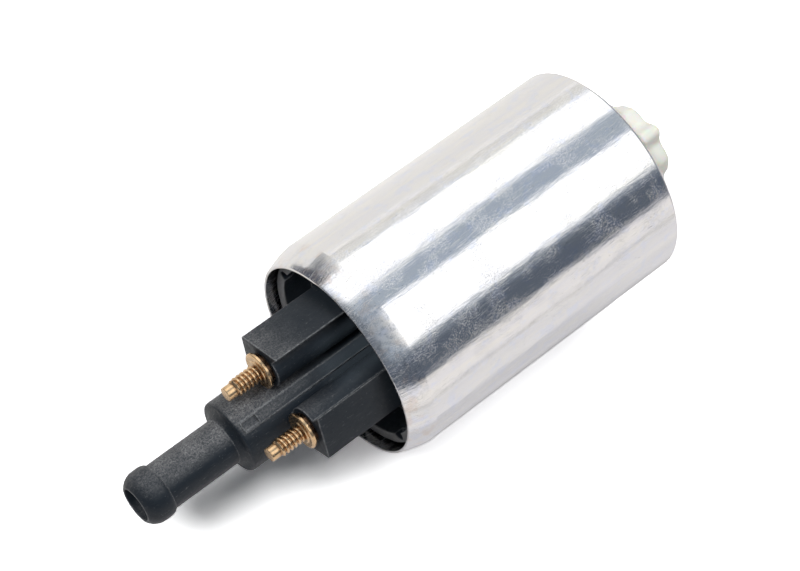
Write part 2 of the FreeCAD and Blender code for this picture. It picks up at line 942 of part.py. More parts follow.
def build():
    """Every piece by its node name."""
    strap = make_strap()
    brush = make_brush()
    stud = make_stud()
    spring = make_brush_spring("brush_spring")
    return {
        "shell": make_shell(),
        "outlet_cover": make_outlet_cover(),
        "cover_seal": make_seal(flange_x + cover_seal_setback),
        "terminal_stud_left": stud,
        "terminal_stud_right": mirror(stud),
        "terminal_strap_left": strap,
        "terminal_strap_right": mirror(strap),
        "brush_holder": make_brush_holder(),
        "brush_left": brush,
        "brush_right": mirror(brush),
        "brush_spring_left": spring,
        "brush_spring_right": mirror(spring),
        "check_valve_spring": make_valve_spring("check_valve_spring"),
        "check_valve_poppet": make_poppet(),
        "check_valve_seat": make_valve_seat(),
        "upper_bearing": make_upper_bearing(),
        "lower_bearing": make_lower_bearing(),
        "thrust_washer": make_thrust_washer(),
        "armature_shaft": make_shaft(),
        "commutator_hub": make_commutator_hub(),
        "commutator_bars": make_commutator_bars(),
        "front_insulator": make_insulator(core_x - insulator_thickness),
        "armature_core": make_armature_core(),
        "rear_insulator": make_insulator(core_end_x),
        "armature_windings": make_windings(),
        "flux_ring": make_flux_ring(),
        "magnet_left": make_magnet(0),
        "magnet_right": make_magnet(180),
        "magnet_clip_top": make_magnet_clip(90),
        "magnet_clip_bottom": make_magnet_clip(-90),
        "outlet_port_plate": make_port_plate(),
        "gerotor_ring": make_rotor_ring(),
        "outer_rotor": make_outer_rotor(),
        "inner_rotor": make_inner_rotor(),
        "drive_coupling": make_drive_coupling(),
        "thrust_pad": make_thrust_pad(),
        "inlet_body": make_inlet_body(),
        "inlet_seal": make_seal(rotor_x + inlet_seal_setback),
        "relief_ball": make_relief_ball(),
        "relief_spring": make_relief_spring("relief_spring"),
        "relief_plug": make_relief_plug(),
    }


os.makedirs("parts", exist_ok=True)
for node, solid in build().items():
    save(node, solid)
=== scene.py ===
import json
import math

import bmesh
import bpy
from mathutils import Matrix, Vector


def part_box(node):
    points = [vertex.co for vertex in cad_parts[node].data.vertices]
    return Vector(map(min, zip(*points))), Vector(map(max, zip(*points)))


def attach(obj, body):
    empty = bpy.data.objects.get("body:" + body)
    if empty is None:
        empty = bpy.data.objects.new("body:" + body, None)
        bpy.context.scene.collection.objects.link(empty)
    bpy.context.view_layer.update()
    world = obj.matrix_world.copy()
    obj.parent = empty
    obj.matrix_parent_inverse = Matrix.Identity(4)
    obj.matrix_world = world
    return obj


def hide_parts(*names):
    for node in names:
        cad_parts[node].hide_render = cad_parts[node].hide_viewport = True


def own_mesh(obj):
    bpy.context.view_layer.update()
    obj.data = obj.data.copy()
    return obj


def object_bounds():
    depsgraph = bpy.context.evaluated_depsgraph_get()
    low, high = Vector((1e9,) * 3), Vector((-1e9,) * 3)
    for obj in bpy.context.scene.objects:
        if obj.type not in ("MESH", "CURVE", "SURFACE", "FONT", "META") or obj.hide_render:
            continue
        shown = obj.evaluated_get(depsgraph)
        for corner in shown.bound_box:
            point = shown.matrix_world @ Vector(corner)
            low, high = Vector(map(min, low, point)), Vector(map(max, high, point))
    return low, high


# In-tank fuel pump lying on a white table, seen from above its hose barb.
# Metres, in the frame of the CAD model: +X from the barb to the inlet, +Z up.
# Materials work in millimetres in the same frame, and their colours are (red, green, blue).

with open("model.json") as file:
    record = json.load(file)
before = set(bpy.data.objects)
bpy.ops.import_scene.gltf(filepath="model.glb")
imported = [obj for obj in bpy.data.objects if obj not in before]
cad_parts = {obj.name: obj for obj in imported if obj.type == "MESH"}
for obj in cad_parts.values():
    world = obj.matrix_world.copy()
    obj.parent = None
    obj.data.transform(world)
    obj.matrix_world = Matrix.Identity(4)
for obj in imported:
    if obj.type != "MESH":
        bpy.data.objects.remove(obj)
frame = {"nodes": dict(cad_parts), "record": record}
cad_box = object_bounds()
cad = frame["nodes"]
mm = 0.001

# Camera, fitted to the photograph
camera_place = Vector((-151.06, 3.67, 352.9)) * mm
camera_right = Vector((0.7552, -0.5842, 0.2973))
camera_up = Vector((0.5436, 0.8117, 0.2139))
camera_back = Vector((-0.3663, 0.0, 0.9305))
camera_lens = 106.8
camera_sensor = 36.0
camera_near = 0.01
camera_far = 20.0

# Places read from the CAD model
shell_low, shell_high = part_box("shell")
shell_radius = shell_high.z
front_x = shell_low.x
rear_x = shell_high.x
stud_low, stud_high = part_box("terminal_stud_left")
stud_y = (stud_low.y + stud_high.y) / 2
stud_z = (stud_low.z + stud_high.z) / 2

# Shell
shell_steps = 384
shell_wall = 0.8 * mm
rim_radius = 17.7 * mm
rim_wall = 0.5 * mm
rim_round = 0.22 * mm
cut_edge_share = 1.6
neck_length = 4.6 * mm
neck_bulge = 0.14 * mm
neck_steps = 24
neck_thinning = 0.6
crease_round = 2.0 * mm
rear_round = 0.6 * mm
rear_lip_radius = 16.6 * mm
rear_lip_round = 0.1 * mm

# Outlet cover: rounding of its edges, and the side that is lightened as painted light, with dust on
# it
cover_edge = 0.18 * mm
painted_light_side = (0.0, 0.64, 0.77)

# Terminal studs
stud_steps = 72
thread_radius = 1.5 * mm
thread_root = 1.18 * mm
thread_length = 4.8 * mm
thread_pitch = 0.76 * mm
thread_rows = 18
stud_tip_radius = 1.2 * mm
stud_tip_length = 1.3 * mm
stud_tip_round = 0.1 * mm
stud_tip_hole = 0.02 * mm
flange_radius = 3.15 * mm
flange_thickness = 0.8 * mm
collar_radius = 2.65 * mm
collar_length = 0.7 * mm
shank_radius = 1.6 * mm

# Inlet body: its even mesh, and the strainer's neck, which keeps its shape
inlet_voxel = 0.4 * mm
inlet_passes = 7
neck_kept = 6.5 * mm
spout_z = -7.0 * mm

# Springs
coil_steps = 36
wire_steps = 12
axis_way = Vector((1, 0, 0))


# Mesh helpers

corner_steps = 6
weld = 0.002 * mm
flat_degrees = 1
edge_degrees = 28
edge_segments = 3


def rounded(points, closed=False):
    """Points (x, r, corner radius) as plain (x, r) points, each corner with a radius made an arc."""
    path = []
    count = len(points)
    for i, (x, r, radius) in enumerate(points):
        inner = closed or 0 < i < count - 1
        if radius == 0 or not inner:
            path.append((x, r))
            continue
        here = Vector((x, r))
        before = Vector(points[i - 1][:2]) - here
        after = Vector(points[(i + 1) % count][:2]) - here
        half = before.angle(after) / 2
        reach = min(radius / math.tan(half), before.length / 2, after.length / 2)
        start = here + before.normalized() * reach
        end = here + after.normalized() * reach
        size = reach * math.tan(half)
        inward = (before.normalized() + after.normalized()).normalized()
        centre = here + inward * (size / math.sin(half))
        first = start - centre
        sweep = first.angle_signed(end - centre)
        for k in range(corner_steps + 1):
            turned = Matrix.Rotation(-sweep * k / corner_steps, 2) @ first
            path.append(tuple(centre + turned))
    return path


def arc_through(a, b, c, steps):
    """Points on the arc from a over b to c."""
    ax, ay = a
    bx, by = b
    cx, cy = c
    d = 2 * (ax * (by - cy) + bx * (cy - ay) + cx * (ay - by))
    a2, b2, c2 = (p[0] ** 2 + p[1] ** 2 for p in (a, b, c))
    ux = (a2 * (by - cy) + b2 * (cy - ay) + c2 * (ay - by)) / d
    uy = (a2 * (cx - bx) + b2 * (ax - cx) + c2 * (bx - ax)) / d
    start = math.atan2(ay - uy, ax - ux)
    end = math.atan2(cy - uy, cx - ux)
    radius = math.hypot(ax - ux, ay - uy)
    angles = [start + (end - start) * k / steps for k in range(steps + 1)]
    return [(ux + radius * math.cos(t), uy + radius * math.sin(t)) for t in angles]


def as_object(bm, name, sharp_degrees=32):
    """The mesh as a smooth object, sharp where it turns by more than sharp_degrees."""
    bmesh.ops.recalc_face_normals(bm, faces=bm.faces)
    mesh = bpy.data.meshes.new(name)
    bm.to_mesh(mesh)
    bm.free()
    for face in mesh.polygons:
        face.use_smooth = True
    mesh.set_sharp_from_angle(angle=math.radians(sharp_degrees))
    piece = bpy.data.objects.new(name, mesh)
    bpy.context.scene.collection.objects.link(piece)
    return piece


def lathe(name, path, steps, centre=(0.0, 0.0), closed=True):
    """Revolves (x, r) points about the X direction through centre.

    r may be a function of the angle. A closed path is a ring; an open one gets a face at each end.
    """
    bm = bmesh.new()
    rings = []
    for x, r in path:
        ring = []
        for k in range(steps):
            t = 2 * math.pi * k / steps
            radius = r(t) if callable(r) else r
            place = (x, centre[0] + radius * math.cos(t), centre[1] + radius * math.sin(t))
            ring.append(bm.verts.new(place))
        rings.append(ring)
    pairs = list(zip(rings, rings[1:]))
    if closed:
        pairs.append((rings[-1], rings[0]))
    else:
        bm.faces.new(rings[0])
        bm.faces.new(rings[-1])
    for a, b in pairs:
        for k in range(steps):
            m = (k + 1) % steps
            bm.faces.new((a[k], a[m], b[m], b[k]))
    return as_object(bm, name)


def softened(node, width):
    """A copy of a CAD node with its flat faces whole again and its edges rounded."""
    bm = bmesh.new()
    bm.from_mesh(cad[node].data)
    bmesh.ops.remove_doubles(bm, verts=bm.verts, dist=weld)
    limit = math.radians(flat_degrees)
    bmesh.ops.dissolve_limit(bm, angle_limit=limit, verts=bm.verts, edges=bm.edges)
    sharp = math.radians(edge_degrees)
    edges = [e for e in bm.edges if len(e.link_faces) == 2 and e.calc_face_angle() > sharp]
    bmesh.ops.bevel(
        bm, geom=edges, offset=width, offset_type="OFFSET", segments=edge_segments,
        profile=0.5, affect="EDGES", clamp_overlap=True,
    )
    return as_object(bm, node + "_dressed", 40)


def melted(node, voxel, passes, keep_radius, keep_centre):
    """A copy of a CAD node as an even mesh whose edges flow, apart from a neck that is kept."""
    temp = bpy.data.objects.new(node + "_even", cad[node].data.copy())
    bpy.context.scene.collection.objects.link(temp)
    remesh = temp.modifiers.new("even", "REMESH")
    remesh.mode = "VOXEL"
    remesh.voxel_size = voxel
    graph = bpy.context.evaluated_depsgraph_get()
    mesh = bpy.data.meshes.new_from_object(temp.evaluated_get(graph))
    bpy.data.objects.remove(temp)
    bm = bmesh.new()
    bm.from_mesh(mesh)
    bpy.data.meshes.remove(mesh)
    y, z = keep_centre
    soft = [v for v in bm.verts if math.hypot(v.co.y - y, v.co.z - z) > keep_radius]
    for _ in range(passes):
        bmesh.ops.smooth_vert(
            bm, verts=soft, factor=0.5, use_axis_x=True, use_axis_y=True, use_axis_z=True
        )
    return as_object(bm, node + "_dressed", 60)


def dress(piece, slot, node, *materials):
    """Gives the piece its materials and puts it in the place of a fixed CAD node."""
    piece.data.materials.clear()
    for material in materials:
        piece.data.materials.append(material)
    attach(piece, "housing")
    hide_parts(node)
    return piece


# Material helpers


class Graph:
    """A node tree that is written as expressions."""

    def __init__(self, tree):
        self.tree = tree
        tree.nodes.clear()

    def node(self, kind, **settings):
        made = self.tree.nodes.new(kind)
        for name, value in settings.items():
            setattr(made, name, value)
        return made

    def feed(self, socket, value):
        if isinstance(value, bpy.types.NodeSocket):
            self.tree.links.new(value, socket)
        elif value is not None:
            socket.default_value = value

    def math(self, operation, a, b=None):
        made = self.node("ShaderNodeMath", operation=operation)
        self.feed(made.inputs[0], a)
        self.feed(made.inputs[1], b)
        return made.outputs[0]

    def times(self, a, b):
        return self.math("MULTIPLY", a, b)

    def plus(self, a, b):
        return self.math("ADD", a, b)

    def most(self, a, b):
        return self.math("MAXIMUM", a, b)

    def between(self, value, low, high, to_low=0.0, to_high=1.0):
        """to_low to to_high, smoothly, as the value goes from low to high."""
        made = self.node("ShaderNodeMapRange", interpolation_type="SMOOTHSTEP")
        for socket, item in zip(made.inputs, (value, low, high, to_low, to_high)):
            self.feed(socket, item)
        return made.outputs[0]

    def window(self, value, low, high, soft):
        """1 between low and high, falling to 0 over soft on both sides."""
        rise = self.between(value, low - soft, low + soft)
        fall = self.between(value, high - soft, high + soft, 1.0, 0.0)
        return self.times(rise, fall)

    def mix(self, factor, a, b, blend="MIX"):
        """Colour a at factor 0, b at 1."""
        made = self.node("ShaderNodeMix", data_type="RGBA", blend_type=blend)
        self.feed(made.inputs[0], factor)
        self.feed(made.inputs[6], a)
        self.feed(made.inputs[7], b)
        return made.outputs[2]

    def split(self, vector):
        made = self.node("ShaderNodeSeparateXYZ")
        self.feed(made.inputs[0], vector)
        return made.outputs

    def join(self, x, y, z):
        made = self.node("ShaderNodeCombineXYZ")
        for socket, item in zip(made.inputs, (x, y, z)):
            self.feed(socket, item)
        return made.outputs[0]

    def place(self):
        """The surface point in the part's own frame, in millimetres."""
        source = self.node("ShaderNodeTexCoord").outputs["Object"]
        made = self.node("ShaderNodeVectorMath", operation="SCALE")
        self.feed(made.inputs[0], source)
        made.inputs["Scale"].default_value = 1 / mm
        return made.outputs[0]

    def noise(self, vector, scale, detail=3.0, rough=0.5):
        made = self.node("ShaderNodeTexNoise")
        self.feed(made.inputs["Vector"], vector)
        made.inputs["Scale"].default_value = scale
        made.inputs["Detail"].default_value = detail
        made.inputs["Roughness"].default_value = rough
        return made.outputs[0]

    def spots(self, scale, low, high):
        """Round spots: 1 where a cell's middle is nearer than high, 0 past low."""
        made = self.node("ShaderNodeTexVoronoi")
        self.feed(made.inputs["Vector"], self.place())
        made.inputs["Scale"].default_value = scale
        return self.between(made.outputs[0], low, high)

    def bump(self, height, depth_mm, below=None):
        made = self.node("ShaderNodeBump")
        made.inputs["Distance"].default_value = depth_mm * mm
        self.feed(made.inputs["Height"], height)
        self.feed(made.inputs["Normal"], below)
        return made.outputs[0]

    def round_axis(self, centre=(0.0, 0.0)):
        """Place along the axis, angle about it and distance from it, in mm and radians."""
        x, y, z = self.split(self.place())
        y = self.math("SUBTRACT", y, centre[0] / mm)
        z = self.math("SUBTRACT", z, centre[1] / mm)
        angle = self.math("ARCTAN2", y, z)
        radius = self.math("SQRT", self.plus(self.times(y, y), self.times(z, z)))
        return x, angle, radius

    def across(self, vector, direction):
        """Cosine of the angle between a vector and a direction of length 1."""
        made = self.node("ShaderNodeVectorMath", operation="DOT_PRODUCT")
        self.feed(made.inputs[0], vector)
        self.feed(made.inputs[1], direction)
        return made.outputs["Value"]

    def normal(self):
        return self.node("ShaderNodeNewGeometry").outputs["Normal"]


def material(name, colour, roughness, metallic=0.0, normal=None, **plain):
    """A Principled material. Colour, roughness and normal are plain or functions of the graph."""
    made = bpy.data.materials.new(name)
    made.use_nodes = True
    graph = Graph(made.node_tree)
    shader = graph.node("ShaderNodeBsdfPrincipled")
    out = graph.node("ShaderNodeOutputMaterial")
    made.node_tree.links.new(shader.outputs[0], out.inputs[0])
    shader.inputs["Metallic"].default_value = metallic
    for socket, value in plain.items():
        shader.inputs[socket.replace("_", " ")].default_value = value
    for socket, maker in (("Base Color", colour), ("Roughness", roughness), ("Normal", normal)):
        graph.feed(shader.inputs[socket], maker(graph) if callable(maker) else maker)
    return made


def rgb(r, g, b):
    return (r, g, b, 1.0)


def noise_tone(low, high, scale):
    """Colour that drifts from low to high."""

    def colour(graph):
        return graph.mix(graph.noise(graph.place(), scale, 4.0), rgb(*low), rgb(*high))

    return colour


def grain(scale, depth):
    """Fine grain, depth in mm."""

    def normal(graph):
        return graph.bump(graph.noise(graph.place(), scale, 4.0), depth)

    return normal


# Shell

# Scratches as (lean, scale along, scale across, depth), and where the neck's wear starts and is
# full: places along the axis in mm, apart from grimy_side, which is a band of y and its softness
scratches = ((0.9, 1.2, 6.0, 0.4), (-0.7, 1.2, 6.5, 0.4), (0.03, 0.3, 7.0, 0.9))
neck_dull = (-23.5, -25.5)
neck_rubbed = (-23.0, -25.5)
neck_grimy = (-23.6, -24.3)
grimy_side = (-11.0, 4.0, 2.0)


def streaks(graph, along, around, detail=4.0):
    """Noise drawn out along the axis, on the shell's surface."""
    x, angle, _ = graph.round_axis()
    vector = graph.join(graph.times(x, along), graph.times(angle, around), 0.0)
    return graph.noise(vector, 1.0, detail, 0.6)


def hatch(graph, lean, along, across):
    """Fine short scratches that run at a slant to the axis, on the shell's surface."""
    x, angle, _ = graph.round_axis()
    arc = graph.times(angle, shell_radius / mm)
    u = graph.plus(x, graph.times(arc, lean))
    v = graph.math("SUBTRACT", arc, graph.times(x, lean))
    vector = graph.join(graph.times(u, along), graph.times(v, across), 0.0)
    return graph.between(graph.noise(vector, 1.0, 2.0), 0.58, 0.68)


def shell_marks(graph):
    """Dust, rubbed patches, scratches and handling marks, where the bright surface is dulled."""
    point = graph.place()
    patches = graph.between(graph.noise(point, 0.16, 4.0, 0.6), 0.38, 0.60, 0.30, 1.0)
    dust = graph.between(graph.noise(point, 2.2, 6.0, 0.85), 0.52, 0.74, 0.0, 0.8)
    specks = graph.between(graph.noise(point, 5.0, 3.0, 0.8), 0.60, 0.66)
    marks = graph.most(dust, specks)
    for lean, along, across, depth in scratches:
        marks = graph.most(marks, graph.times(hatch(graph, lean, along, across), depth))
    x, _, _ = graph.split(point)
    neck = graph.between(x, *neck_dull, 0.0, 0.7)
    return graph.times(marks, graph.plus(patches, neck))


def shell_colour(graph):
    """Aluminium with bluish blotches and pits; its neck is rubbed brownish and grimy."""
    point = graph.place()
    x, y, _ = graph.split(point)
    tone = graph.between(streaks(graph, 0.05, 12.0), 0.3, 0.7)
    base = graph.mix(tone, rgb(0.79, 0.79, 0.82), rgb(0.84, 0.83, 0.81))
    blotch = graph.between(graph.noise(point, 0.42, 4.0, 0.6), 0.52, 0.66, 0.0, 0.5)
    base = graph.mix(blotch, base, rgb(0.74, 0.77, 0.88))
    rubbed = graph.between(graph.noise(point, 0.45), 0.50, 0.66, 0.0, 0.5)
    rubbed = graph.times(graph.between(x, *neck_rubbed), rubbed)
    base = graph.mix(rubbed, base, rgb(0.74, 0.63, 0.56))
    grime = graph.between(graph.noise(point, 1.3, 5.0, 0.75), 0.48, 0.62, 0.0, 0.7)
    on_neck = graph.times(graph.between(x, *neck_grimy), graph.window(y, *grimy_side))
    base = graph.mix(graph.times(on_neck, grime), base, rgb(0.50, 0.52, 0.55))
    pits = graph.times(graph.spots(0.8, 0.09, 0.05), 0.6)
    return graph.mix(pits, base, rgb(0.30, 0.29, 0.29))


def shell_roughness(graph):
    fine = graph.between(streaks(graph, 0.08, 150.0), 0.25, 0.75, 0.05, 0.13)
    return graph.plus(fine, graph.times(shell_marks(graph), 0.34))


def shell_normal(graph):
    """Waves and lines left by drawing the tube, with crossed scratches in patches."""
    waves = graph.bump(streaks(graph, 0.07, 4.5, 2.0), 0.065)
    ripples = graph.bump(streaks(graph, 0.30, 26.0, 4.0), 0.016, waves)
    fine = graph.bump(streaks(graph, 0.12, 95.0, 3.0), 0.0040, ripples)
    weave = graph.plus(hatch(graph, 0.9, 2.2, 6.5), hatch(graph, -0.8, 2.2, 6.5))
    rubbed = graph.between(graph.noise(graph.place(), 0.22, 4.0), 0.40, 0.66)
    return graph.bump(graph.times(weave, rubbed), 0.008, fine)


def wall_at(x):
    """Wall of the neck, which thins towards the mouth."""
    deep = min(1.0, (x - front_x) / (neck_thinning * neck_length))
    return rim_wall + (shell_wall - rim_wall) * deep


def make_shell():
    crease = (front_x + neck_length, shell_radius)
    middle = (front_x + neck_length / 2, (rim_radius + shell_radius) / 2 + neck_bulge)
    neck = arc_through((front_x, rim_radius), middle, crease, neck_steps)
    inner_neck = [(x, r - wall_at(x)) for x, r in reversed(neck[2:])]
    bore = shell_radius - shell_wall
    outline = [
        (front_x, rim_radius - rim_wall, rim_round / 2),
        (front_x, rim_radius, rim_round),
    ]
    outline += [(x, r, 0) for x, r in neck[1:-1]]
    outline += [
        (*crease, crease_round),
        (rear_x, shell_radius, rear_round),
        (rear_x, rear_lip_radius, rear_lip_round),
        (rear_x - shell_wall, rear_lip_radius, rear_lip_round),
        (rear_x - shell_wall, bore, 0),
        (crease[0], bore, 0),
    ]
    outline += [(x, r, 0) for x, r in inner_neck[1:]]
    piece = lathe("shell_tube", rounded(outline, closed=True), shell_steps)
    # The rim's cut edge gets a painted highlight: plain white that is not metal, for a bright line
    # along the mouth.
    for face in piece.data.polygons:
        if face.center.x < front_x + cut_edge_share * rim_round:
            face.material_index = 1
    metal = material("shell aluminium", shell_colour, shell_roughness, 1.0, shell_normal)
    white = noise_tone((0.93, 0.93, 0.93), (1.0, 1.0, 1.0), 1.2)
    painted_rim_highlight = material("rim edge painted highlight", white, 0.4, 0.0, grain(3.0, 0.02))
    return dress(piece, "shell_aluminium", "shell", metal, painted_rim_highlight)


# Outlet cover: where its dust, its painted light, its painted fill light in the mouth and its scuffs
# start and stop, in mm along the axis, in y or in radius

fades_to_mouth = (-43.5, -33.0)
bead_dust = (-64.5, -62.0)
dust_side = (-7.0, 4.0)
skirt_rim = (-26.6, -26.0, 0.15)
skirt_ring = (14.6, 15.2)
scuffs_thin = (-36.0, -30.0)
mouth_fill_ring = (13.0, 11.0)


def worn_and_highlit_edges(graph, radius, low, high):
    """1 along convex and concave edges, broken up by noise."""
    bevel = graph.node("ShaderNodeBevel", samples=6)
    bevel.inputs["Radius"].default_value = radius
    turn = graph.across(bevel.outputs[0], graph.normal())
    edge = graph.between(graph.math("SUBTRACT", 1.0, turn), low, high)
    patchy = graph.between(graph.noise(graph.place(), 1.6, 4.0, 0.7), 0.35, 0.62, 0.25, 1.0)
    return graph.times(edge, patchy)


def facing(graph, direction, low, high):
    """0 to 1 as the surface turns to face the direction."""
    return graph.between(graph.across(graph.normal(), Vector(direction).normalized()), low, high)


def cover_dust_and_painted_light(graph):
    """Dust in the grain, fading from the barb towards the mouth, on the side that faces the lamps,
    which is lightened there as painted light; and dust on the skirt's rim.
    """
    point = graph.place()
    x, y, _ = graph.split(point)
    _, _, radius = graph.round_axis()
    out = graph.between(x, *fades_to_mouth, 1.0, 0.03)
    out = graph.times(out, graph.between(x, *bead_dust, 0.45, 1.0))
    out = graph.times(out, graph.between(y, *dust_side, 0.3, 1.0))
    grains = graph.between(graph.noise(point, 3.2, 6.0, 0.9), 0.40, 0.64, 0.10, 1.0)
    patches = graph.between(graph.noise(point, 0.28), 0.35, 0.65, 0.6, 1.0)
    # Painted light: lighter on the side that faces the lamps
    dust_on_painted_lit_side = graph.times(facing(graph, painted_light_side, 0.50, 1.02), graph.times(grains, patches))
    on_ring = graph.between(radius, *skirt_ring, 0.0, 0.5)
    skirt = graph.times(graph.window(x, *skirt_rim), on_ring)
    return graph.most(skirt, graph.times(out, dust_on_painted_lit_side))


def cover_scuffs(graph):
    """Light rubbed streaks along the axis, on the parts that stick out of the shell."""
    point = graph.place()
    x, y, z = graph.split(point)
    drawn = graph.join(graph.times(x, 0.16), y, z)
    streak = graph.between(graph.noise(drawn, 2.4, 6.0, 0.8), 0.56, 0.68)
    patchy = graph.between(graph.noise(point, 1.2, 4.0, 0.7), 0.42, 0.60)
    outside = graph.between(x, *scuffs_thin, 1.0, 0.15)
    return graph.times(graph.times(streak, patchy), outside)


def cover_colour(graph):
    """Black plastic, with dust and painted light, scuffs, worn edges with a painted highlight,
    specks, and painted fill light that makes it lighter down in the mouth.
    """
    point = graph.place()
    x, _, _ = graph.split(point)
    _, _, radius = graph.round_axis()
    tone = graph.noise(point, 0.35, 4.0)
    base = graph.mix(tone, rgb(0.012, 0.017, 0.023), rgb(0.020, 0.026, 0.034))
    # Painted fill light: lighter down in the mouth, where little light reaches
    painted_mouth_fill = graph.times(graph.between(radius, *mouth_fill_ring), graph.between(x, *scuffs_thin))
    base = graph.mix(painted_mouth_fill, base, rgb(0.060, 0.076, 0.092))
    dusty = graph.mix(cover_dust_and_painted_light(graph), base, rgb(0.30, 0.30, 0.305))
    dusty = graph.mix(graph.times(cover_scuffs(graph), 0.60), dusty, rgb(0.20, 0.205, 0.21))
    # Worn edges, lighter also as a painted highlight along them
    edges = worn_and_highlit_edges(graph, 0.42 * mm, 0.005, 0.06)
    worn_and_highlit = graph.mix(graph.times(edges, 0.8), dusty, rgb(0.26, 0.27, 0.28))
    specks = graph.times(graph.spots(1.4, 0.08, 0.03), 0.6)
    return graph.mix(specks, worn_and_highlit, rgb(0.30, 0.32, 0.33))


def cover_roughness(graph):
    return graph.between(graph.noise(graph.place(), 2.0, 5.0, 0.65), 0.3, 0.7, 0.34, 0.50)


def cover_normal(graph):
    fine = graph.bump(graph.noise(graph.place(), 6.0, 4.0, 0.6), 0.012)
    return graph.bump(graph.noise(graph.place(), 0.8, 2.0), 0.08, fine)


def make_cover():
    plastic = material(
        "black glass-filled nylon", cover_colour, cover_roughness, 0.0, cover_normal,
        Specular_IOR_Level=0.25,
    )
    piece = softened("outlet_cover", cover_edge)
    return dress(piece, "cover_plastic", "outlet_cover", plastic)


# Terminal studs: where the tarnish with painted shade in the thread's root and the painted shade on
# the collar start and are full, in mm of radius and along the axis, and the pitch of the rings that
# the lathe left

tarnish_and_shade_radius = (1.42, 1.20)
tarnish_and_shade_along = (-47.6, -47.3)
collar_shade_along = (-41.98, -41.90)
turned_pitch = 0.16


def thread_at(x, start, end):
    """Radius of the thread at the place x, as a function of the angle."""
    fade = min(1.0, (x - start) / (0.8 * thread_pitch), (end - x) / (0.4 * thread_pitch))
    height = (thread_radius - thread_root) * max(0.0, fade)

    def radius(t):
        share = (x / thread_pitch - t / (2 * math.pi)) % 1.0
        rise = min(1.0, max(0.0, (abs(2 * share - 1) - 0.15) / 0.55))
        return thread_root + height * rise * rise * (3 - 2 * rise)

    return radius


def brass_colour(graph, centre):
    """Brass with a few stains, tarnish and painted shade down in the thread, and painted shade on
    the collar behind the flange.
    """
    point = graph.place()
    base = graph.mix(graph.noise(point, 1.0), rgb(0.64, 0.42, 0.23), rgb(0.80, 0.58, 0.35))
    stain = graph.between(graph.noise(point, 0.7), 0.55, 0.75)
    stained = graph.mix(graph.times(stain, 0.4), base, rgb(0.36, 0.21, 0.12))
    x, _, radius = graph.round_axis(centre)
    # Tarnish with painted shade down in the thread's root, and painted shade on the collar
    tarnish_and_shade_in_root = graph.times(graph.between(radius, *tarnish_and_shade_radius), graph.between(x, *tarnish_and_shade_along))
    threaded = graph.mix(tarnish_and_shade_in_root, stained, rgb(0.42, 0.25, 0.13))
    return graph.mix(graph.between(x, *collar_shade_along), threaded, rgb(0.13, 0.075, 0.045))


def brass_roughness(graph):
    return graph.between(graph.noise(graph.place(), 3.0), 0.3, 0.7, 0.20, 0.32)


def turned_normal(graph, centre=(0.0, 0.0)):
    """Fine rings left by the lathe, on end faces and along the turned length."""
    x, _, radius = graph.round_axis(centre)
    wave = graph.math("SINE", graph.times(graph.plus(x, radius), 2 * math.pi / turned_pitch))
    rough = graph.bump(graph.noise(graph.place(), 3.0, 2.0), 0.008)
    return graph.bump(wave, 0.0012, rough)


def make_stud(side, node):
    tip_x = stud_low.x
    thread_x = tip_x + stud_tip_length
    flange_x = thread_x + thread_length
    flange_end = flange_x + flange_thickness
    collar_end = flange_end + collar_length
    rows = rounded(
        [
            (tip_x, stud_tip_hole, 0),
            (tip_x, stud_tip_radius, stud_tip_round),
            (thread_x, stud_tip_radius, stud_tip_round),
            (thread_x, thread_root, 0),
        ]
    )
    step_count = round(thread_length / thread_pitch * thread_rows)
    for k in range(1, step_count):
        x = thread_x + thread_length * k / step_count
        rows.append((x, thread_at(x, thread_x, flange_x)))
    rows += rounded(
        [
            (flange_x, thread_root, 0),
            (flange_x, 1.85 * mm, 0.08 * mm),
            (flange_x + 0.16 * mm, 2.05 * mm, 0.08 * mm),
            (flange_x + 0.12 * mm, 2.75 * mm, 0.1 * mm),
            (flange_x + 0.28 * mm, flange_radius, 0.14 * mm),
            (flange_end, flange_radius, 0.12 * mm),
            (flange_end, collar_radius, 0),
            (collar_end, collar_radius, 0),
            (collar_end, shank_radius, 0),
            (stud_high.x, shank_radius, 0),
        ]
    )
    centre = (side * stud_y, stud_z)
    piece = lathe(node + "_threaded", rows, stud_steps, centre, closed=False)
    brass = material(
        "brass " + node, lambda graph: brass_colour(graph, centre), brass_roughness,
        1.0, lambda graph: turned_normal(graph, centre),
    )
    return dress(piece, "brass", node, brass)


# Inlet body


def nylon_colour(graph):
    tone = graph.noise(graph.place(), 0.3)
    return graph.mix(tone, rgb(0.88, 0.88, 0.80), rgb(0.91, 0.905, 0.84))


def make_inlet():
    nylon = material(
        "natural nylon", nylon_colour, 0.38, 0.0, grain(3.0, 0.02),
        Subsurface_Weight=0.35, Subsurface_Scale=1.5 * mm,
    )
    piece = melted("inlet_body", inlet_voxel, inlet_passes, neck_kept, (0.0, spout_z))
    return dress(piece, "inlet_nylon", "inlet_body", nylon)


# Springs


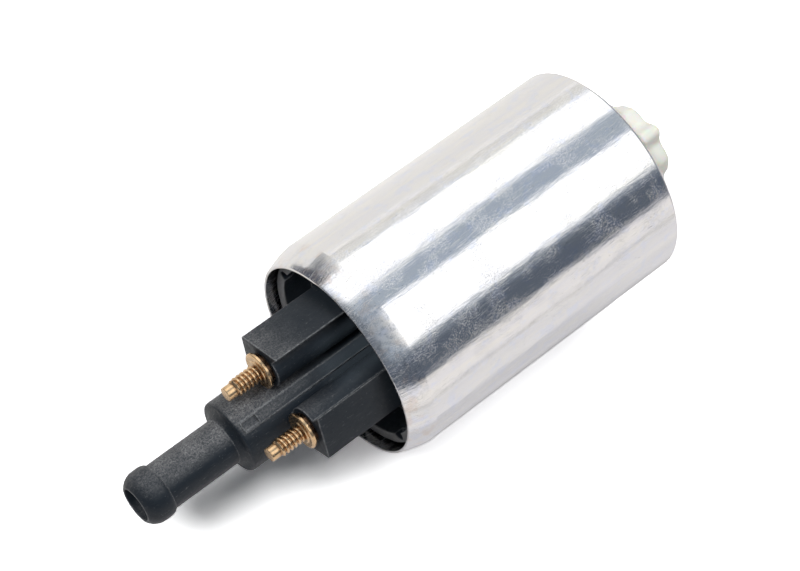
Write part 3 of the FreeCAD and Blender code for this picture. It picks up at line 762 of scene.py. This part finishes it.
def make_spring(node, wire, turns):
    """Coil of even pitch in its node's box."""
    low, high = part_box(node)
    radius = (high[1] - low[1]) / 2 - wire
    middle = [(a + b) / 2 for a, b in zip(low, high)]
    start, length = low[0] + wire, high[0] - low[0]
    round_wire = [2 * math.pi * k / wire_steps for k in range(wire_steps)]
    bm = bmesh.new()
    rings = []
    for i in range(coil_steps * turns + 1):
        t = 2 * math.pi * i / coil_steps
        out = Vector((0, math.cos(t), math.sin(t)))
        x = start + (length - 2 * wire) * i / (coil_steps * turns)
        place = Vector((x, middle[1], middle[2])) + radius * out
        ways = [math.cos(a) * out + math.sin(a) * axis_way for a in round_wire]
        rings.append([bm.verts.new(place + wire * way) for way in ways])
    for near, far in zip(rings, rings[1:]):
        for k in range(wire_steps):
            bm.faces.new((near[k - 1], near[k], far[k], far[k - 1]))
    bm.faces.new(rings[0])
    bm.faces.new(rings[-1])
    piece = as_object(bm, node + "_coil", 180)
    look = noise_tone((0.45, 0.45, 0.46), (0.60, 0.60, 0.61), 2.0)
    dress(piece, "spring_steel", node, material("spring wire", look, 0.28, 1.0, grain(8.0, 0.005)))
    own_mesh(piece)


def make_springs():
    make_spring("brush_spring_left", 0.20 * mm, 4)
    make_spring("brush_spring_right", 0.20 * mm, 4)
    make_spring("check_valve_spring", 0.25 * mm, 5)
    make_spring("relief_spring", 0.15 * mm, 4)


# Inner pieces, which keep their CAD shape


def layered(pitch, depth):
    """Edges of stacked sheets, or turns of wire, side by side along the axis."""

    def normal(graph):
        x, _, _ = graph.round_axis()
        wave = graph.math("SINE", graph.times(x, 2 * math.pi / pitch))
        return graph.bump(wave, depth)

    return normal


# Slot: two tones, how fast they change, roughness, metallic, normal
inner_looks = {
    "steel": ((0.50, 0.51, 0.52), (0.62, 0.63, 0.64), 1.5, 0.25, 1.0, turned_normal),
    "bearing_bronze": ((0.40, 0.24, 0.12), (0.56, 0.36, 0.20), 4.0, 0.5, 1.0, grain(9.0, 0.02)),
    "brass": ((0.72, 0.47, 0.22), (0.88, 0.64, 0.35), 1.5, 0.25, 1.0, turned_normal),
    "copper": ((0.70, 0.33, 0.20), (0.82, 0.46, 0.31), 2.0, 0.22, 1.0, turned_normal),
    "lamination": ((0.26, 0.27, 0.29), (0.40, 0.41, 0.43), 1.0, 0.35, 1.0, layered(0.5, 0.02)),
    "winding_wire": ((0.42, 0.12, 0.03), (0.62, 0.24, 0.08), 1.0, 0.3, 0.6, layered(0.45, 0.08)),
    "zinc_steel": ((0.46, 0.47, 0.45), (0.62, 0.62, 0.58), 0.8, 0.4, 1.0, grain(5.0, 0.01)),
    "spring_steel": ((0.45, 0.45, 0.46), (0.60, 0.60, 0.61), 2.0, 0.28, 1.0, grain(8.0, 0.005)),
    "ferrite": ((0.045, 0.045, 0.050), (0.085, 0.085, 0.090), 3.0, 0.6, 0.0, grain(6.0, 0.03)),
    "holder_plastic": (
        (0.040, 0.040, 0.045), (0.075, 0.075, 0.080), 1.0, 0.45, 0.0, grain(5.0, 0.02)
    ),
    "carbon": ((0.030, 0.030, 0.032), (0.070, 0.070, 0.075), 5.0, 0.4, 0.0, grain(9.0, 0.02)),
    "seal_rubber": (
        (0.015, 0.015, 0.016), (0.030, 0.030, 0.030), 2.0, 0.55, 0.0, grain(4.0, 0.01)
    ),
    "valve_plastic": ((0.66, 0.60, 0.42), (0.76, 0.71, 0.55), 0.8, 0.35, 0.0, grain(4.0, 0.01)),
    "insulation": ((0.13, 0.33, 0.20), (0.20, 0.44, 0.28), 2.0, 0.5, 0.0, grain(6.0, 0.02)),
    "port_plate": ((0.10, 0.095, 0.090), (0.16, 0.15, 0.14), 2.0, 0.3, 0.0, grain(6.0, 0.01)),
}


def paint_inner_pieces():
    made = {}
    for slot, (low, high, scale, roughness, metallic, normal) in inner_looks.items():
        tone = noise_tone(low, high, scale)
        made[slot] = material(slot.replace("_", " "), tone, roughness, metallic, normal)
    for part in frame["record"]["subparts"]:
        node = cad[part["node"]]
        if part["material_slot"] in made and not node.hide_render:
            node.data.materials.clear()
            node.data.materials.append(made[part["material_slot"]])


# World: the room as the bright shell shows it. Bands are degrees about the pump's axis, from
# straight up towards -Y, and ends are the x part of the direction. Each pair is where a tone
# starts and where it is full.

diffuse_share = 0.12
ceiling_band = (-12.0, 20.0)
ceiling_soft = 6.0
dark_wall = (21.0, 43.0)
near_table = (61.5, 68.0)
far_table = (-78.5, -82.0)
overhead_box = (-14.5, 30.0)
overhead_reach = (0.04, 2.0)
overhead_fade = (22.0, 38.0)
box_soft = 1.5
reach_soft = 0.08
window_start = (-80.0, -77.0)
window_end = (-43.0, -31.0)
window_ends = (-0.36, -0.20)
window_lower = (0.33, 0.46, 0.0, 6.0)
corner_band = (-69.0, -74.0)
grey_end = (0.14, -0.02)
black_end = (-0.09, -0.16)
ceiling_end = (-0.14, -0.06)
barb_end = (-0.25, -0.35)
inlet_end = (0.62, 0.74)
box_tone = (1.5, 1.5, 1.49)


def make_world():
    """A room with an overhead light box and a window on the far side, seen in reflections.

    Matt surfaces get only a share of its light, and the camera sees plain white.
    """
    world = bpy.data.worlds.new("studio")
    bpy.context.scene.world = world
    world.use_nodes = True
    graph = Graph(world.node_tree)
    way = graph.node("ShaderNodeTexCoord").outputs["Generated"]
    x, y, z = graph.split(way)
    turned = graph.math("ARCTAN2", graph.times(y, -1.0), z)
    angle = graph.times(turned, 180 / math.pi)

    # Ceiling and walls
    to_middle = graph.between(x, *ceiling_end)
    ceiling = graph.mix(to_middle, rgb(0.42, 0.46, 0.51), rgb(0.60, 0.61, 0.62))
    in_band = graph.window(angle, *ceiling_band, ceiling_soft)
    room = graph.mix(in_band, rgb(0.42, 0.48, 0.56), ceiling)
    room = graph.mix(graph.between(x, *barb_end), room, rgb(0.17, 0.19, 0.22))
    room = graph.mix(graph.between(angle, *dark_wall), room, rgb(0.115, 0.135, 0.170))
    room = graph.mix(graph.between(angle, *near_table), room, rgb(0.94, 0.91, 0.895))
    room = graph.mix(graph.between(angle, *far_table), room, rgb(0.86, 0.85, 0.81))

    # Overhead light box, dimmer towards the near wall
    box = graph.times(
        graph.window(angle, *overhead_box, box_soft), graph.window(x, *overhead_reach, reach_soft)
    )
    box = graph.times(graph.math("SQRT", box), graph.between(angle, *overhead_fade, 1.0, 0.0))

    # Window on the far side, lower towards the inlet, and the dark corner beneath it
    slant = graph.plus(angle, graph.between(x, *window_lower))
    far_window = graph.between(angle, *window_start)
    far_window = graph.times(far_window, graph.between(slant, *window_end, 1.0, 0.0))
    far_window = graph.times(far_window, graph.between(x, *window_ends))
    seen = graph.mix(graph.most(box, far_window), room, rgb(*box_tone))
    far_corner = graph.between(angle, *corner_band)
    grey_corner = graph.times(far_corner, graph.between(x, *grey_end))
    seen = graph.mix(grey_corner, seen, rgb(0.33, 0.34, 0.36))
    black_corner = graph.times(far_corner, graph.between(x, *black_end))
    seen = graph.mix(black_corner, seen, rgb(0.11, 0.12, 0.15))
    seen = graph.mix(graph.between(x, *inlet_end), seen, rgb(0.32, 0.33, 0.35))

    paths = graph.node("ShaderNodeLightPath").outputs
    strength = graph.between(paths["Is Glossy Ray"], 0.0, 1.0, diffuse_share, 1.0)
    seen = graph.mix(1.0, seen, graph.join(strength, strength, strength), "MULTIPLY")
    colour = graph.mix(paths["Is Camera Ray"], seen, rgb(1.0, 1.0, 1.0))
    background = graph.node("ShaderNodeBackground")
    graph.feed(background.inputs["Color"], colour)
    out = graph.node("ShaderNodeOutputWorld")
    graph.feed(out.inputs[0], background.outputs[0])


# Lamps: direction, size and power

lamp_distance = 1.2
barb_lamp = (Vector((-0.60, 0.38, 1.0)), 0.41, 6.7)
rear_lamp = (Vector((0.50, 0.116, 1.0)), 0.79, 8.2)


def make_lamp(name, direction, size, power):
    """A round soft lamp. Reflections show the world's light boxes in its place."""
    lamp = bpy.data.lights.new(name, "AREA")
    lamp.shape = "DISK"
    lamp.size = size
    lamp.energy = power
    piece = bpy.data.objects.new(name, lamp)
    bpy.context.scene.collection.objects.link(piece)
    way = direction.normalized()
    piece.location = way * lamp_distance
    piece.rotation_mode = "QUATERNION"
    piece.rotation_quaternion = way.to_track_quat("Z", "Y")
    piece.visible_glossy = False


# Table: its tone for light, its gain for the camera, the glow of its mirror image, and the
# distances in mm over which it goes to plain white

floor_half = 3.0
floor_squares = 8
floor_tone = 0.88
floor_gain = 2.5
mirror_lift = 0.12
far_floor = (260.0, 700.0)

# Tones of the table in reflections: where each starts and is full, in mm
shade_band = (-66.0, 0.0, 4.0)
shade_thins = (20.0, 45.0, 1.0, 0.4)
shade_starts = (-60.0, -28.0, 0.5, 1.0)
bright_away = (150.0, 450.0)
dark_lean = 0.105
dark_start = (-20.0, -23.0)
dark_from = (55.0, 75.0)
grey_ratio = (0.14, -0.02)
grey_from = (170.0, 260.0)


def table_in_mirrors(graph):
    """The table's tone where the bright shell shows it, with painted dark and grey patches far off,
    a painted reflection of the room's dark far corner.
    """
    x, y, _ = graph.split(graph.place())
    tone = graph.mix(graph.between(y, -5.0, 5.0), rgb(0.89, 0.87, 0.87), rgb(0.88, 0.86, 0.83))

    # Soft shade beside the pump
    strip = graph.times(graph.window(y, *shade_band), graph.between(x, *shade_thins))
    strip = graph.times(strip, graph.between(x, *shade_starts))
    tone = graph.mix(strip, tone, rgb(0.66, 0.65, 0.66))
    away = graph.between(graph.math("ABSOLUTE", y), *bright_away)
    tone = graph.mix(away, tone, rgb(1.18, 1.16, 1.14))

    # Painted reflection: dark and grey patches far off on the table, seen only in reflections
    lean = graph.plus(x, graph.times(y, dark_lean))
    dark = graph.times(graph.between(lean, *dark_start), graph.between(y, *dark_from))
    ratio = graph.math("DIVIDE", x, y)
    grey = graph.times(graph.between(ratio, *grey_ratio), graph.between(y, *grey_from))
    tone = graph.mix(grey, tone, rgb(0.33, 0.34, 0.36))
    return graph.mix(dark, tone, rgb(0.12, 0.13, 0.16))


def floor_shader(made):
    """White to the camera but for the object's shadow, and toned in the shell's reflections."""
    graph = Graph(made.node_tree)
    path = graph.node("ShaderNodeLightPath").outputs
    plain = rgb(floor_tone, floor_tone, floor_tone)
    tone = graph.mix(path["Is Glossy Ray"], plain, table_in_mirrors(graph))
    tone = graph.mix(path["Is Camera Ray"], tone, rgb(floor_gain, floor_gain, floor_gain))
    diffuse = graph.node("ShaderNodeBsdfDiffuse")
    graph.feed(diffuse.inputs["Color"], tone)
    mirrored = graph.most(path["Is Glossy Ray"], path["Is Transmission Ray"])
    mirrored = graph.times(mirrored, mirror_lift)
    length = graph.node("ShaderNodeVectorMath", operation="LENGTH")
    graph.feed(length.inputs[0], graph.place())
    far = graph.between(length.outputs["Value"], *far_floor, 0.0, 1.0 / floor_gain)
    strength = graph.plus(mirrored, graph.times(path["Is Camera Ray"], far))
    glow = graph.node("ShaderNodeEmission")
    graph.feed(glow.inputs["Color"], tone)
    graph.feed(glow.inputs["Strength"], strength)
    both = graph.node("ShaderNodeAddShader")
    graph.feed(both.inputs[0], diffuse.outputs[0])
    graph.feed(both.inputs[1], glow.outputs[0])
    out = graph.node("ShaderNodeOutputMaterial")
    graph.feed(out.inputs[0], both.outputs[0])


def make_floor():
    bm = bmesh.new()
    bmesh.ops.create_grid(bm, x_segments=floor_squares, y_segments=floor_squares, size=floor_half)
    floor = as_object(bm, "floor")
    floor.location.z = cad_box[0].z
    white = bpy.data.materials.new("white table")
    white.use_nodes = True
    floor_shader(white)
    floor.data.materials.append(white)


def make_camera():
    data = bpy.data.cameras.new("camera")
    data.lens = camera_lens
    data.sensor_width = camera_sensor
    data.clip_start = camera_near
    data.clip_end = camera_far
    camera = bpy.data.objects.new("camera", data)
    bpy.context.scene.collection.objects.link(camera)
    turn = Matrix((camera_right, camera_up, camera_back)).transposed()
    camera.matrix_world = Matrix.Translation(camera_place) @ turn.to_4x4()
    bpy.context.scene.camera = camera


make_camera()
make_world()
make_lamp("barb lamp", *barb_lamp)
make_lamp("rear lamp", *rear_lamp)
make_floor()
make_shell()
make_cover()
make_stud(1, "terminal_stud_left")
make_stud(-1, "terminal_stud_right")
make_inlet()
make_springs()
paint_inner_pieces()
bpy.context.scene.view_settings.view_transform = "Standard"
